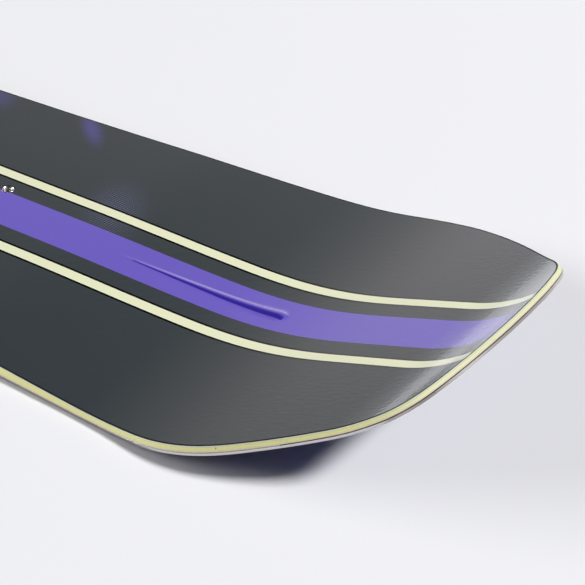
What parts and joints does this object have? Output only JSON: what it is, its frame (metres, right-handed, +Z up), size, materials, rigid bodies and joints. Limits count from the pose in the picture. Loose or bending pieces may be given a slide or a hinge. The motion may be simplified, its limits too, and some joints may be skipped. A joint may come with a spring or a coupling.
{
  "type": "snowboard",
  "caption": "Twin-tip cambered snowboard with steel edges, sidewalls, a wood core and threaded inserts for bindings.",
  "frame": {"origin": "on the floor under the middle of the board, which lies on its base", "axes": "+X along the board to the nose, +Y to the board's left side, +Z up out of the top sheet"},
  "size_m": [1.5154, 0.2968, 0.0616],
  "materials": {
    "base_plastic": "sintered polyethylene, structured and waxed",
    "edge_steel": "ground carbon steel",
    "damping_rubber": "matte rubber foil",
    "glass_laminate": "glass fibre in epoxy",
    "beech": "planed wood",
    "poplar": "planed wood",
    "sidewall_abs": "pale yellow ABS, ground at the side",
    "insert_stainless": "turned stainless steel",
    "rod_carbon": "carbon fibre in epoxy",
    "topsheet_print": "satin film, charcoal with a purple and two pale stripes"
  },
  "bodies": {
    "root": {"base_sheet": "base_plastic", "steel_edge_left": "edge_steel", "steel_edge_right": "edge_steel", "damping_foil_left": "damping_rubber", "damping_foil_right": "damping_rubber", "lower_laminate": "glass_laminate", "core_strip_centre": "beech", "core_strip_left_1": "poplar", "core_strip_right_1": "poplar", "core_strip_left_2": "beech", "core_strip_right_2": "beech", "core_strip_left_3": "poplar", "core_strip_right_3": "poplar", "nose_tip_spacer": "sidewall_abs", "tail_tip_spacer": "sidewall_abs", "sidewall_left": "sidewall_abs", "sidewall_right": "sidewall_abs", "nose_insert_left_1": "insert_stainless", "nose_insert_left_2": "insert_stainless", "nose_insert_left_3": "insert_stainless", "nose_insert_left_4": "insert_stainless", "nose_insert_left_5": "insert_stainless", "nose_insert_left_6": "insert_stainless", "nose_insert_right_1": "insert_stainless", "nose_insert_right_2": "insert_stainless", "nose_insert_right_3": "insert_stainless", "nose_insert_right_4": "insert_stainless", "nose_insert_right_5": "insert_stainless", "nose_insert_right_6": "insert_stainless", "tail_insert_left_1": "insert_stainless", "tail_insert_left_2": "insert_stainless", "tail_insert_left_3": "insert_stainless", "tail_insert_left_4": "insert_stainless", "tail_insert_left_5": "insert_stainless", "tail_insert_left_6": "insert_stainless", "tail_insert_right_1": "insert_stainless", "tail_insert_right_2": "insert_stainless", "tail_insert_right_3": "insert_stainless", "tail_insert_right_4": "insert_stainless", "tail_insert_right_5": "insert_stainless", "tail_insert_right_6": "insert_stainless", "upper_laminate": "glass_laminate", "nose_rod": "rod_carbon", "tail_rod": "rod_carbon", "topsheet": "topsheet_print"}
  },
  "joints": []
}
